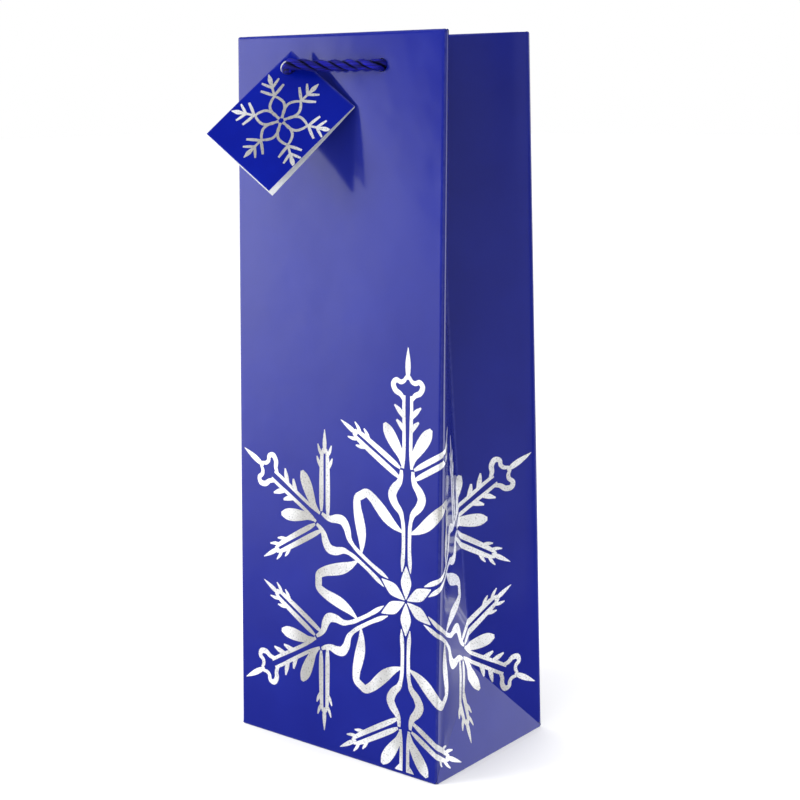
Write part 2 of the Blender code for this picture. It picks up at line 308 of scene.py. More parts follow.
def makeFoil():
    material, shader = newMaterial("silverFoil")
    coords = objectCoords(material)
    cloud = noiseOf(material, coords, 55.0, 3.0)
    fine = noiseOf(material, coords, 1300.0, 3.0)
    broad = noiseOf(material, coords, 17.0, 2.0, 0.5, (1.6, 1.0, 0.8))
    tone = ramp(material, cloud, [(0.36, (0.72, 0.72, 0.73)), (0.48, (0.88, 0.89, 0.90)),
                                  (0.60, (0.96, 0.96, 0.97))])
    # painted shade: the foil turns grey on the left side branches and in broad random patches, standing in for
    # dimmer reflections there
    across = addNode(material, "ShaderNodeSeparateXYZ", {"Vector": coords}).outputs["X"]
    paintedDimReflection = mathOf(material, "MULTIPLY", spanOf(material, across, -0.036, -0.019, 0.0, 1.0, True),
                  spanOf(material, across, -0.016, 0.006, 1.0, 0.0, True))
    paintedDimReflection = mathOf(material, "MAXIMUM", mathOf(material, "MULTIPLY", paintedDimReflection, 0.8),
                  spanOf(material, broad, 0.56, 0.66, 0.0, 0.55, True))
    tone = mixOf(material, paintedDimReflection, tone, (0.345, 0.335, 0.315))
    shader.inputs["Metallic"].default_value = 0.35
    dress(material, shader, tone, fine, 0.24, 0.36)
    height = mathOf(material, "ADD", mathOf(material, "MULTIPLY", cloud, 1.0),
                    mathOf(material, "MULTIPLY", fine, 0.06))
    addBump(material, shader, height, 0.6, 0.0015)
    return material


def makeRopeFibre():
    material, shader = newMaterial("blueRopeFibre")
    strand = addNode(material, "ShaderNodeAttribute", attribute_name="strandSpace").outputs["Vector"]
    fibre = noiseOf(material, strand, 900.0, 3.0, 0.6, (1.6, 1.6, 0.06))
    cloud = noiseOf(material, strand, 120.0, 2.0)
    tone = ramp(material, fibre, [(0.28, (0.0006, 0.0007, 0.050)), (0.5, (0.0014, 0.0016, 0.190)),
                                  (0.75, (0.0060, 0.0060, 0.48))])
    tone = mixOf(material, spanOf(material, cloud, 0.35, 0.7, 0.0, 0.35), tone, (0.002, 0.002, 0.10))
    # painted shade: the fibre colour goes near black towards the grooves between the strands, where shade falls
    outward = addNode(material, "ShaderNodeAttribute", attribute_name="outward").outputs["Fac"]
    paintedGrooveShade = spanOf(material, outward, 0.62, 0.93, 1.0, 0.0, True)
    tone = mixOf(material, paintedGrooveShade, tone, (0.0004, 0.0004, 0.012))
    dress(material, shader, tone, fibre, 0.62, 0.45)
    shader.inputs["Sheen Weight"].default_value = 0.04
    shader.inputs["Specular IOR Level"].default_value = 0.25
    shader.inputs["Sheen Roughness"].default_value = 0.4
    shader.inputs["Sheen Tint"].default_value = (0.3, 0.35, 1.0, 1.0)
    addBump(material, shader, fibre, 0.9, 0.00035)
    return material


blueLaminate = makeLaminate("blueLaminate", laminate["deep"], laminate["light"], 0.32,
                            laminate["coatRoughness"])
tagLaminate = makeLaminate("tagLaminate", (0.0005, 0.0045, 0.20), (0.0008, 0.0090, 0.28), 0.8, 0.06, 0.5)
whitePaper = makePlainPaper()
cutEdge = makeCutEdge()
greyBoard = makeGreyCard()
silverFoil = makeFoil()
ropeFibre = makeRopeFibre()
print("materials made")


# ---- flat sheets and how they're folded

def insidePolygon(x, y, outline):
    inside = False
    for (ax, ay), (bx, by) in zip(outline, outline[1:] + outline[:1]):
        if (ay > y) != (by > y) and x < (bx - ax) * (y - ay) / (by - ay) + ax:
            inside = not inside
    return inside


def evenSteps(low, high, step):
    count = max(1, round((high - low) / step))
    return [low + (high - low) * i / count for i in range(count + 1)]


def ringPoints(x, y, radius, count=36):
    return [(x + radius * math.cos(2 * math.pi * i / count), y + radius * math.sin(2 * math.pi * i / count))
            for i in range(count)]


def edgeDistance(x, y, outline):
    best = 1.0
    spot = Vector((x, y))
    for a, b in zip(outline, outline[1:] + outline[:1]):
        a, b = Vector(a), Vector(b)
        way = b - a
        t = max(0.0, min(1.0, (spot - a).dot(way) / max(1e-12, way.length_squared)))
        best = min(best, (spot - a - t * way).length)
    return best


def flatSheet(outline, columns, rows, holes=(), clear=0.00012):
    # an even triangulated net inside the outline, with round holes left out
    loops = []
    rim = []
    for a, b in zip(outline, outline[1:] + outline[:1]):
        steps = {0.0}
        for value in columns:
            if min(a[0], b[0]) < value < max(a[0], b[0]):
                steps.add((value - a[0]) / (b[0] - a[0]))
        for value in rows:
            if min(a[1], b[1]) < value < max(a[1], b[1]):
                steps.add((value - a[1]) / (b[1] - a[1]))
        last = -1.0
        length = math.hypot(b[0] - a[0], b[1] - a[1])
        for t in sorted(steps):
            if (t - last) * length > 0.00005 and (1 - t) * length > 0.00005 or t == 0.0:
                rim.append((a[0] + (b[0] - a[0]) * t, a[1] + (b[1] - a[1]) * t))
                last = t
    loops.append(rim)
    for x, y, radius in holes:
        loops.append(ringPoints(x, y, radius))
        for extra in (radius + 0.0006, radius + 0.0018):
            loops.append(ringPoints(x, y, extra, 36 if extra < radius + 0.001 else 24))
    points = []
    edges = []
    for i, loop in enumerate(loops):
        first = len(points)
        points.extend(loop)
        if i == 0 or (i - 1) % 3 == 0:
            count = len(loop)
            edges.extend((first + j, first + (j + 1) % count) for j in range(count))
    for y in rows:
        for x in columns:
            if not insidePolygon(x, y, outline) or edgeDistance(x, y, outline) < clear:
                continue
            if any(math.hypot(x - hx, y - hy) < radius + 0.0026 for hx, hy, radius in holes):
                continue
            points.append((x, y))
    found = delaunay_2d_cdt([Vector(p) * 1000 for p in points], edges, [], 0, 1e-5)
    spots = [(p.x / 1000, p.y / 1000) for p in found[0]]
    faces = []
    for face in found[2]:
        x = sum(spots[i][0] for i in face) / len(face)
        y = sum(spots[i][1] for i in face) / len(face)
        if not insidePolygon(x, y, outline):
            continue
        if any(math.hypot(x - hx, y - hy) < radius * 0.995 for hx, hy, radius in holes):
            continue
        faces.append(tuple(face))
    return spots, faces


def cleanNet(net):
    # no loose points, and every face up
    bmesh.ops.delete(net, geom=[v for v in net.verts if not v.link_faces], context="VERTS")
    for face in net.faces:
        face.normal_update()
        if face.normal.z < 0:
            face.normal_flip()


def squared(spots, faces):
    # joins the net's triangles into four-sided faces, all facing up
    net = bmesh.new()
    made = [net.verts.new((x, y, 0.0)) for x, y in spots]
    for face in faces:
        net.faces.new([made[i] for i in face])
    cleanNet(net)
    bmesh.ops.join_triangles(net, faces=net.faces[:], angle_face_threshold=0.1,
                             angle_shape_threshold=0.6)
    net.verts.index_update()
    return net


def buildShell(name, net, place, thick, materials, rimSlot, wear, flip=False):
    # an outer face, an inner face one thickness behind it, and the rim between
    net.verts.index_update()
    flat = [(v.co.x, v.co.y) for v in net.verts]
    faces = [tuple(v.index for v in face.verts) for face in net.faces]
    count = len(flat)
    points = [place(x, y, 0.0) for x, y in flat] + [place(x, y, thick) for x, y in flat]
    ways = {}
    for face in faces:
        for a, b in zip(face, face[1:] + face[:1]):
            ways[(a, b)] = True
    allFaces = list(faces)
    slots = [0] * len(faces)
    allFaces += [tuple(i + count for i in reversed(face)) for face in faces]
    slots += [1] * len(faces)
    for a, b in ways:
        if (b, a) not in ways:
            allFaces.append((b, a, a + count, b + count))
            slots.append(rimSlot((flat[a][0] + flat[b][0]) / 2, (flat[a][1] + flat[b][1]) / 2))
    if flip:
        allFaces = [face[::-1] for face in allFaces]
    mesh = bpy.data.meshes.new(name)
    mesh.from_pydata(points, [], allFaces)
    for material in materials:
        mesh.materials.append(material)
    mesh.polygons.foreach_set("material_index", slots)
    attribute = mesh.attributes.new("foldWear", "FLOAT", "POINT")
    values = [wear(x, y) for x, y in flat]
    attribute.data.foreach_set("value", values + values)
    mesh.update()
    return finishMesh(name, mesh)


sharpAngle = math.radians(38)  # edges bent more than this are shaded sharp


def finishMesh(name, mesh):
    work = bmesh.new()
    work.from_mesh(mesh)
    for face in work.faces:
        face.smooth = True
    for edge in work.edges:
        if len(edge.link_faces) == 2 and edge.calc_face_angle(0.0) > sharpAngle:
            edge.smooth = False
    work.to_mesh(mesh)
    work.free()
    item = bpy.data.objects.new(name, mesh)
    bpy.context.scene.collection.objects.link(item)
    return item


# ---- front and back sheet, each one piece from the foot over the top to the hem's end

bigSheet = {
    "grid": 0.005,
    "ropeHoleSpacing": 0.055,
    "ropeHoleDrop": 0.015,
    "ropeHoleRadius": 0.00305,
    "hemSideMargin": 0.005,
}
footArc = bag["footRadius"] * math.pi / 2
topStart = footArc + bag["height"] - stackRadius - bag["footRadius"]
topEnd = topStart + math.pi * stackRadius
sheetEnd = topEnd + bag["hemDepth"] - stackRadius
wrap = bag["cornerWrap"]
besideFold = 0.0007  # a grid line this close to each rounding keeps the flat paper's shading flat


def bigRun(t):
    # height, depth and the outward direction at a run of t along the sheet
    radius = bag["footRadius"]
    if t < footArc:
        angle = t / radius
        return (radius - radius * math.cos(angle), radius * math.sin(angle) - radius,
                -math.cos(angle), math.sin(angle))
    if t < topStart:
        return radius + t - footArc, 0.0, 0.0, 1.0
    if t < topEnd:
        angle = (t - topStart) / stackRadius
        return (bag["height"] - stackRadius + stackRadius * math.sin(angle),
                stackRadius * math.cos(angle) - stackRadius, math.sin(angle), math.cos(angle))
    return bag["height"] - stackRadius - (t - topEnd), -2 * stackRadius, 0.0, -1.0


def cornerPoint(x, s, d):
    # the rounding from a big panel into the side
    w = min(1.0, (x - halfWidth + wrap) / (2 * wrap))
    low = max(0.0004, min(s, bag["height"]))
    first = panelPoint(halfWidth - wrap, s, 0.0)
    middle = panelPoint(halfWidth, s, 0.0)
    last = sideSurface(min(wrap, 0.9 * low), low, 0.0)
    last += panelPoint(halfWidth, s, 0.0) - panelPoint(halfWidth, low, 0.0)
    spot = (1 - w) ** 2 * first + 2 * w * (1 - w) * middle + w * w * last
    along = (1 - w) * (middle - first) + w * (last - middle)
    out = along.cross(Vector((0.0, sinLean, cosLean))).normalized()
    return spot + d * out


def bigPlace(way):
    seed = 3.0 if way > 0 else 17.0

    def place(x, t, depth):
        s, d, upOut, outOut = bigRun(t)
        if outOut == 1.0:
            d += panelRipple(x, s, seed)
        s -= upOut * depth
        d -= outOut * depth
        if abs(x) <= halfWidth - wrap:
            spot = panelPoint(x, s, d)
        else:
            spot = cornerPoint(abs(x), s, d)
            spot.x = math.copysign(spot.x, x)
        spot.z = max(spot.z, 0.00002)
        return turned(spot, way)
    return place


def runAt(s, onHem=False):
    if onHem:
        return topEnd + bag["height"] - stackRadius - s
    return footArc + s - bag["footRadius"]


def bigWear(x, t):
    corner = max(0.0, 1 - abs((abs(x) - halfWidth) / wrap)) if t < topStart else 0.0
    top = math.sin(math.pi * (t - topStart) / (topEnd - topStart)) if topStart < t < topEnd else 0.0
    foot = fade(footArc * 1.5 - t, 0.0, footArc)
    return max(0.45 * corner, 0.8 * top, 0.7 * foot)


def bigOutline():
    edge = halfWidth + wrap
    quarter = (topEnd - topStart) / 4
    right = [(halfWidth - 0.0005, 0.0), (edge, footArc + 0.0012), (edge, topStart),
             (halfWidth + 0.6 * wrap, topStart + quarter), (halfWidth - 0.0003, topStart + 2 * quarter),
             (halfWidth - 0.0024, topStart + 3 * quarter), (halfWidth - 0.0036, topEnd),
             (halfWidth - bigSheet["hemSideMargin"], topEnd + 0.0020),
             (halfWidth - bigSheet["hemSideMargin"], sheetEnd)]
    return right + [(-x, t) for x, t in reversed(right)]


def bigNet():
    step = bigSheet["grid"]
    inner = halfWidth - wrap
    columns = evenSteps(-inner, inner, step)
    columns += [side * (inner + 2 * wrap * i / 8) for i in range(1, 8) for side in (-1, 1)]
    columns += [side * (inner - besideFold) for side in (-1, 1)]
    rows = [footArc * i / 4 for i in range(1, 4)] + evenSteps(footArc, topStart, step)
    rows += [footArc + besideFold, topStart - besideFold, topEnd + besideFold]
    rows += [topStart + (topEnd - topStart) * i / 8 for i in range(1, 8)]
    rows += evenSteps(topEnd, sheetEnd, step)[:-1]
    holes = []
    for side in (-1, 1):
        for onHem in (False, True):
            t = runAt(bag["height"] - bigSheet["ropeHoleDrop"], onHem)
            holes.append((side * bigSheet["ropeHoleSpacing"] / 2, t, bigSheet["ropeHoleRadius"]))
    spots, faces = flatSheet(bigOutline(), columns, rows, holes)
    return squared(spots, faces), holes


def bigRim(holes):
    def slot(x, t):
        if t > topEnd + 0.001 or any(math.hypot(x - a, t - b) < radius * 1.1 for a, b, radius in holes):
            return 2
        return 0
    return slot


for side, way in (("front", 1), ("back", -1)):
    net, holes = bigNet()
    sheet = buildShell(f"{side}_sheet", net, bigPlace(way), bag["paper"],
                       [blueLaminate, whitePaper, cutEdge], bigRim(holes), bigWear)
    net.free()
    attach(sheet, f"{side}_side")
    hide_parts(f"{side}_panel", f"{side}_hem")
    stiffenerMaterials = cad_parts[f"{side}_stiffener"].data.materials
    stiffenerMaterials.clear()
    stiffenerMaterials.append(greyBoard)
print("front and back sheets folded")


# ---- folded sides: a front and a rear half each, over the top to their hems

sideSheet = {
    "grid": 0.005,
    "footStart": 0.0022,
    "hemSetback": 0.003,
    "hemCreaseMargin": 0.0006,
    "followsFrom": 0.033,  # a span in from the corner edge, from here to followsTo
    "followsTo": 0.002,
}
sideTop = bag["height"] - sideFoldRadius
sideTopEnd = sideTop + math.pi * sideFoldRadius
sideEnd = sideTopEnd + bag["hemDepth"] - sideFoldRadius


def sideRun(t):
    if t < sideTop:
        return t, 0.0, 0.0, 1.0
    if t < sideTopEnd:
        angle = (t - sideTop) / sideFoldRadius
        return (sideTop + sideFoldRadius * math.sin(angle),
                sideFoldRadius * math.cos(angle) - sideFoldRadius, math.sin(angle), math.cos(angle))
    return sideTop - (t - sideTopEnd), -2 * sideFoldRadius, 0.0, -1.0


def sidePlace(across, along):
    seed = 31.0 + 7 * across + 3 * along

    def place(u, t, depth):
        v, d, upOut, outOut = sideRun(t)
        if outOut == 1.0:
            d += sideRipple(u, v, seed)
        v -= upOut * depth
        d -= outOut * depth
        spot = sideSurface(u, v, d)
        return Vector((spot.x * across, spot.y * along, max(spot.z, 0.00002)))
    return place


def sideWear(u, t):
    near = max(0.0, 1 - (u - wrap) / 0.0008)
    crease = fade(0.0012 - (halfDepth - u), 0.0, 0.0012) if t > halfDepth else 0.0
    top = math.sin(math.pi * (t - sideTop) / (sideTopEnd - sideTop)) if sideTop < t < sideTopEnd else 0.0
    return max(0.3 * near, 0.6 * crease, 0.8 * top)


def sideNet():
    start = wrap + 0.00003
    foot = sideSheet["footStart"]
    quarter = (sideTopEnd - sideTop) / 4
    outline = [(start, foot), (foot, foot), (halfDepth, halfDepth), (halfDepth, sideTop + 2 * quarter),
               (halfDepth - sideSheet["hemCreaseMargin"], sideTopEnd),
               (halfDepth - sideSheet["hemCreaseMargin"], sideEnd), (sideSheet["hemSetback"], sideEnd),
               (sideSheet["hemSetback"], sideTopEnd), (start + 0.0006, sideTop + 2 * quarter),
               (start, sideTop)]
    step = sideSheet["grid"]
    columns = [start + 0.0008] + evenSteps(start + 0.003, halfDepth - 0.0035, step)
    columns += [halfDepth - 0.0012]
    rows = evenSteps(foot + 0.003, sideTop, step)
    rows += [sideTop + (sideTopEnd - sideTop) * i / 8 for i in range(1, 8)]
    rows += evenSteps(sideTopEnd, sideEnd, step)[:-1] + [sideTop - besideFold, sideTopEnd + besideFold]
    spots, faces = flatSheet(outline, columns, rows)
    return squared(spots, faces)


def followSide(item):
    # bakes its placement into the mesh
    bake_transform(item)


for side, across in (("right", 1), ("left", -1)):
    for half, along in (("front", 1), ("rear", -1)):
        net = sideNet()
        sheet = buildShell(f"{side}_{half}_side_sheet", net, sidePlace(across, along), bag["paper"],
                           [blueLaminate, whitePaper, cutEdge],
                           lambda u, t: 2 if t > sideTopEnd else 0, sideWear, flip=across * along < 0)
        net.free()
        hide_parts(f"{side}_gusset_{half}_half", f"{side}_gusset_{half}_hem")
        followSide(sheet)


def footPlace(across):
    def place(p, q, depth):
        # p along the base edge, q up the leaning triangle
        inward = q * math.sin(footLean) + depth * math.cos(footLean)
        z = q * math.cos(footLean) - depth * math.sin(footLean)
        return Vector((across * (halfWidth - inward), across * p, max(z, 0.00002)))
    return place


def footWear(p, q):
    return 0.8 * fade(0.0007 - q, 0.0, 0.0007)


for side, across in (("right", 1), ("left", -1)):
    reach = halfDepth
    outline = [(0.0012 - reach, 0.0), (reach - 0.0012, 0.0), (reach - 0.0012, 0.0012), (0.0, reach),
               (0.0012 - reach, 0.0012)]
    columns = evenSteps(-0.042, 0.042, 0.004)
    spots, faces = flatSheet(outline, columns, [0.0006] + evenSteps(0.003, 0.041, 0.004))
    net = squared(spots, faces)
    sheet = buildShell(f"{side}_foot_triangle", net, footPlace(across), bag["paper"],
                       [blueLaminate, whitePaper, cutEdge], lambda p, q: 0, footWear)
    net.free()
    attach(sheet, "bag_base")
    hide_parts(f"{side}_base_triangle")
print("sides folded")


# ---- bottom flaps, tucks, base board and the glued seam

bottom = {
    "overlap": 0.014,
    "tuckDepth": 0.040,
    "board": 0.0010,
    "seamWidth": 0.014,
    "seamSetback": 0.0025,
    "seamFoot": 0.006,
}


def roomInside(height):
    wide = halfWidth - bag["paper"] / math.cos(footLean) - height * math.tan(footLean)
    deep = halfDepth - bag["paper"] - height * math.tan(lean + bag["closes"])
    return wide - bag["gap"], deep - bag["gap"]


def levelSheet(name, outline, low, thick, materials, rim, seed, lift=0.00004, faceDown=True):
    def place(x, y, depth):
        wave = lift * noise.noise(Vector((x * 30, y * 30, seed)))
        return Vector((x, y, low + depth + wave) if faceDown else (x, y, low + thick - depth + wave))
    xs = [p[0] for p in outline]
    ys = [p[1] for p in outline]
    spots, faces = flatSheet(outline, evenSteps(min(xs), max(xs), 0.008)[1:-1],
                             evenSteps(min(ys), max(ys), 0.008)[1:-1])
    net = squared(spots, faces)
    item = buildShell(name, net, place, thick, materials, lambda x, y: rim, lambda x, y: 0.0, flip=faceDown)
    net.free()
    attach(item, "bag_base")
    return item


def roundCorners(outline, radius, count=4):
    result = []
    for before, corner, after in zip(outline[-1:] + outline[:-1], outline, outline[1:] + outline[:1]):
        corner = Vector(corner)
        first = corner + (Vector(before) - corner).normalized() * radius
        last = corner + (Vector(after) - corner).normalized() * radius
        for i in range(count + 1):
            t = i / count
            spot = (1 - t) ** 2 * first + 2 * t * (1 - t) * corner + t * t * last
            result.append((spot.x, spot.y))
    return result


top = bag["paper"]
for name, way in (("rear_bottom_flap", 1), ("front_bottom_flap", -1)):
    wide, deep = roomInside(top)
    taper = (deep + bottom["overlap"]) / 4
    outline = [(-wide, way * deep), (wide, way * deep), (wide - taper, -way * bottom["overlap"]),
               (-wide + taper, -way * bottom["overlap"])]
    if way > 0:
        outline = outline[::-1]
    flap = levelSheet(name + "_sheet", roundCorners(outline, 0.0012), top - bag["paper"], bag["paper"],
                      [blueLaminate, whitePaper, cutEdge], 2, 40.0 + way, lift=0.00001)
    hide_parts(name)
    top += bag["paper"] + bag["gap"]
wide, deep = roomInside(top)
for name, way in (("left_bottom_tuck", -1), ("right_bottom_tuck", 1)):
    inner = way * (wide - bottom["tuckDepth"])
    outline = [(way * wide, -deep), (way * wide, deep), (inner, deep - bottom["tuckDepth"]),
               (inner, -deep + bottom["tuckDepth"])]
    if way < 0:
        outline = outline[::-1]
    tuck = levelSheet(name + "_sheet", roundCorners(outline, 0.0010), top - bag["paper"], bag["paper"],
                      [blueLaminate, whitePaper, cutEdge], 2, 50.0 + way)
    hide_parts(name)
top += bag["gap"] + bottom["board"]
wide, deep = roomInside(top)
outline = [(-wide, -deep), (wide, -deep), (wide, deep), (-wide, deep)]
board = levelSheet("base_board_card", roundCorners(outline, 0.0020), top - bottom["board"], bottom["board"],
                   [greyBoard, greyBoard], 0, 60.0, faceDown=False)
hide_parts("base_board")


def seamPlace(x, s, depth):
    d = -bag["paper"] - bag["gap"] - bag["paper"] + depth
    return turned(panelPoint(x, s, d), -1)


outer = halfWidth - bottom["seamSetback"]
seamTop = bag["height"] - bag["hemDepth"] - bag["gap"]
outline = [(outer - bottom["seamWidth"], bottom["seamFoot"] + 0.003), (outer, bottom["seamFoot"]),
           (outer, seamTop), (outer - bottom["seamWidth"], seamTop)]
spots, faces = flatSheet(outline, [outer - 0.007], evenSteps(0.015, 0.308, 0.008))
net = squared(spots, faces)
seam = buildShell("side_seam_sheet", net, seamPlace, bag["paper"], [whitePaper, whitePaper, cutEdge],
                  lambda x, s: 2, lambda x, s: 0.0, flip=True)
net.free()
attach(seam, "back_side")
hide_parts("side_seam_flap")
print("bottom and seam made")


# ---- rope handles: three twisted strands along each route, knotted inside

rope = {
    "radius": 0.00275,
    "strands": 3,
    "twistLength": 0.0225,
    "step": 0.0006,
    "sides": 14,
    "holeX": 0.0275,
    "holeHeight": 0.335,
}
tail = [(0.0, -0.1050, -0.0085), (0.0003, -0.0650, -0.0078), (0.0003, -0.0300, -0.0068),
        (0.0, -0.0120, -0.0063), (0.0, -0.0038, -0.0061), (0.0, -0.0008, -0.0046)]
holeX = rope["holeX"]
frontSpan = [(-holeX, 0.0, -0.0022), (-holeX, 0.0, 0.0002), (-holeX + 0.0010, -0.0006, 0.0038),
             (-holeX + 0.0042, -0.0017, 0.0075), (-holeX + 0.0078, -0.0006, 0.0111),
             (-holeX + 0.0109, 0.0006, 0.0134), (-holeX + 0.0160, 0.0005, 0.0118),
             (-0.0060, 0.0, 0.0089), (0.0020, -0.0001, 0.0062), (0.0110, 0.0, 0.0045),
             (holeX - 0.0080, 0.0, 0.0038), (holeX - 0.0036, 0.0, 0.0037),
             (holeX - 0.0009, 0.0, 0.0027), (holeX, 0.0, 0.0002), (holeX, 0.0, -0.0022)]
backSpan = [(-holeX, 0.0, -0.0022), (-holeX, 0.0, 0.0002), (-holeX + 0.0009, 0.0, 0.0027),
            (-holeX + 0.0036, 0.0, 0.0037), (-0.0130, -0.0012, 0.0036), (0.0, -0.0017, 0.0035),
            (0.0130, -0.0012, 0.0036), (holeX - 0.0036, 0.0, 0.0037),
            (holeX - 0.0009, 0.0, 0.0027), (holeX, 0.0, 0.0002), (holeX, 0.0, -0.0022)]


def smoothLine(points, perPiece):
    # a curve through the points that doesn't overshoot
    points = [Vector(p) for p in points]
    ends = [2 * points[0] - points[1]] + points + [2 * points[-1] - points[-2]]
    dense = []
    for before, start, stop, after in zip(ends, ends[1:], ends[2:], ends[3:]):
        first, second, third = [max(1e-6, (b - a).length) ** 0.5
                                for a, b in ((before, start), (start, stop), (stop, after))]
        leave = second * ((start - before) / first - (stop - before) / (first + second)
                          + (stop - start) / second)
        arrive = second * ((stop - start) / second - (after - start) / (second + third)
                           + (after - stop) / third)
        for i in range(perPiece):
            t = i / perPiece
            dense.append((2 * t ** 3 - 3 * t ** 2 + 1) * start + (t ** 3 - 2 * t ** 2 + t) * leave
                         + (3 * t ** 2 - 2 * t ** 3) * stop + (t ** 3 - t ** 2) * arrive)
    dense.append(points[-1].copy())
    return dense


def evenLine(dense, step):
    lengths = [0.0]
    for start, stop in zip(dense, dense[1:]):
        lengths.append(lengths[-1] + (stop - start).length)
    count = round(lengths[-1] / step)
    line = []
    at = 0
    for i in range(count + 1):
        goal = lengths[-1] * i / count
        while at < len(lengths) - 2 and lengths[at + 1] < goal:
            at += 1
        share = (goal - lengths[at]) / (lengths[at + 1] - lengths[at])
        line.append(dense[at].lerp(dense[at + 1], share))
    return line, lengths[-1]


def ropeTree():
    tree = bpy.data.node_groups.new("twistedRope", "GeometryNodeTree")
    tree.is_modifier = True
    sockets = {}
    for name, kind in (("Line", "Geometry"), ("Strands", "Int"), ("Strand radius", "Float"),
                       ("Lay radius", "Float"), ("Twist length", "Float"), ("Sides", "Int"),
                       ("Material", "Material")):
        made = tree.interface.new_socket(name=name, in_out="INPUT", socket_type="NodeSocket" + kind)
        sockets[name] = made.identifier
    tree.interface.new_socket(name="Rope", in_out="OUTPUT", socket_type="NodeSocketGeometry")

    def add(kind, links=None, **settings):
        node = tree.nodes.new(kind)
        for key, value in settings.items():
            setattr(node, key, value)
        for key, value in (links or {}).items():
            if isinstance(value, bpy.types.NodeSocket):
                tree.links.new(value, node.inputs[key])
            else:
                node.inputs[key].default_value = value
        return node

    def calc(kind, first, second=0.0):
        return add("ShaderNodeMath", {0: first, 1: second}, operation=kind).outputs[0]

    def vector(kind, first, second, output=0):
        return add("ShaderNodeVectorMath", {0: first, 1: second}, operation=kind).outputs[output]

    def scaled(first, amount):
        node = add("ShaderNodeVectorMath", {0: first}, operation="SCALE")
        tree.links.new(amount, node.inputs["Scale"])
        return node.outputs[0]

    def store(geometry, name, value, kind):
        return add("GeometryNodeStoreNamedAttribute", {"Geometry": geometry, "Name": name, "Value": value},
                   data_type=kind, domain="POINT").outputs[0]

    def named(name, kind):
        return add("GeometryNodeInputNamedAttribute", {"Name": name}, data_type=kind).outputs[0]

    given = add("NodeGroupInput").outputs
    spot = add("GeometryNodeInputPosition").outputs[0]
    line = add("GeometryNodeMeshToCurve", {"Mesh": given["Line"]})
    copies = add("GeometryNodeDuplicateElements", {"Geometry": line.outputs[0], "Amount": given["Strands"]},
                 domain="SPLINE")
    run = add("GeometryNodeSplineParameter").outputs["Length"]
    share = calc("DIVIDE", copies.outputs["Duplicate Index"], given["Strands"])
    turns = calc("ADD", share, calc("DIVIDE", run, given["Twist length"]))
    angle = calc("MULTIPLY", turns, 2 * math.pi)
    normal = add("GeometryNodeInputNormal").outputs[0]
    tangent = add("GeometryNodeInputTangent").outputs[0]
    across = vector("CROSS_PRODUCT", tangent, normal)
    offset = vector("ADD", scaled(normal, calc("COSINE", angle)), scaled(across, calc("SINE", angle)))
    axis = store(copies.outputs[0], "axisSpot", spot, "FLOAT_VECTOR")
    moved = add("GeometryNodeSetPosition", {"Geometry": axis, "Offset": scaled(offset, given["Lay radius"])})
    strand = store(moved.outputs[0], "ropeRun", run, "FLOAT")
    ring = add("GeometryNodeCurvePrimitiveCircle",
               {"Resolution": given["Sides"], "Radius": given["Strand radius"]}, mode="RADIUS")
    profile = store(ring.outputs[0], "ringSpot", spot, "FLOAT_VECTOR")
    tube = add("GeometryNodeCurveToMesh", {"Curve": strand, "Profile Curve": profile, "Fill Caps": True})
    runAgain = named("ropeRun", "FLOAT")
    fibreTurn = add("ShaderNodeVectorRotate",
                    {"Vector": named("ringSpot", "FLOAT_VECTOR"), "Angle": calc("MULTIPLY", runAgain, 330.0)},
                    rotation_type="Z_AXIS")
    lift = add("ShaderNodeCombineXYZ", {"Z": runAgain})
    space = vector("ADD", fibreTurn.outputs[0], lift.outputs[0])
    stored = store(tube.outputs[0], "strandSpace", space, "FLOAT_VECTOR")
    reach = vector("DISTANCE", spot, named("axisSpot", "FLOAT_VECTOR"), "Value")
    whole = calc("ADD", given["Lay radius"], given["Strand radius"])
    outward = store(stored, "outward", calc("DIVIDE", reach, whole), "FLOAT")
    smooth = add("GeometryNodeSetShadeSmooth", {"Geometry": outward})
    real = add("GeometryNodeRealizeInstances", {"Geometry": smooth.outputs[0]})
    dressed = add("GeometryNodeSetMaterial", {"Geometry": real.outputs[0], "Material": given["Material"]})
    output = add("NodeGroupOutput")
    tree.links.new(dressed.outputs[0], output.inputs[0])
    return tree, sockets


ropeNodes, ropeSockets = ropeTree()


def twistedRope(name, line, radius, twistLength):
    # a strand's radius and its circle fill the rope's round outline
    strands = rope["strands"]
    strandRadius = radius * math.sin(math.pi / strands) / (1 + math.sin(math.pi / strands)) * 1.06
    mesh = bpy.data.meshes.new(name + "_line")
    mesh.from_pydata(line, [(i, i + 1) for i in range(len(line) - 1)], [])
    guide = bpy.data.objects.new(name + "_line", mesh)
    bpy.context.scene.collection.objects.link(guide)
    modifier = guide.modifiers.new("Rope", "NODES")
    modifier.node_group = ropeNodes
    for key, value in (("Strands", strands), ("Strand radius", strandRadius),
                       ("Lay radius", radius - strandRadius), ("Twist length", twistLength),
                       ("Sides", rope["sides"]), ("Material", ropeFibre)):
        modifier[ropeSockets[key]] = value
    depsgraph = bpy.context.evaluated_depsgraph_get()
    made = bpy.data.meshes.new_from_object(guide.evaluated_get(depsgraph), preserve_all_data_layers=True,
                                           depsgraph=depsgraph)
    made.name = name
    item = bpy.data.objects.new(name, made)
    bpy.context.scene.collection.objects.link(item)
    bpy.data.objects.remove(guide)
    if not made.materials:
        made.materials.append(ropeFibre)
    return item


knot = {
    "size": 0.00150,
    "rise": 0.00215,
    "ropeRadius": 0.0020,
    "drop": 0.0075,
}


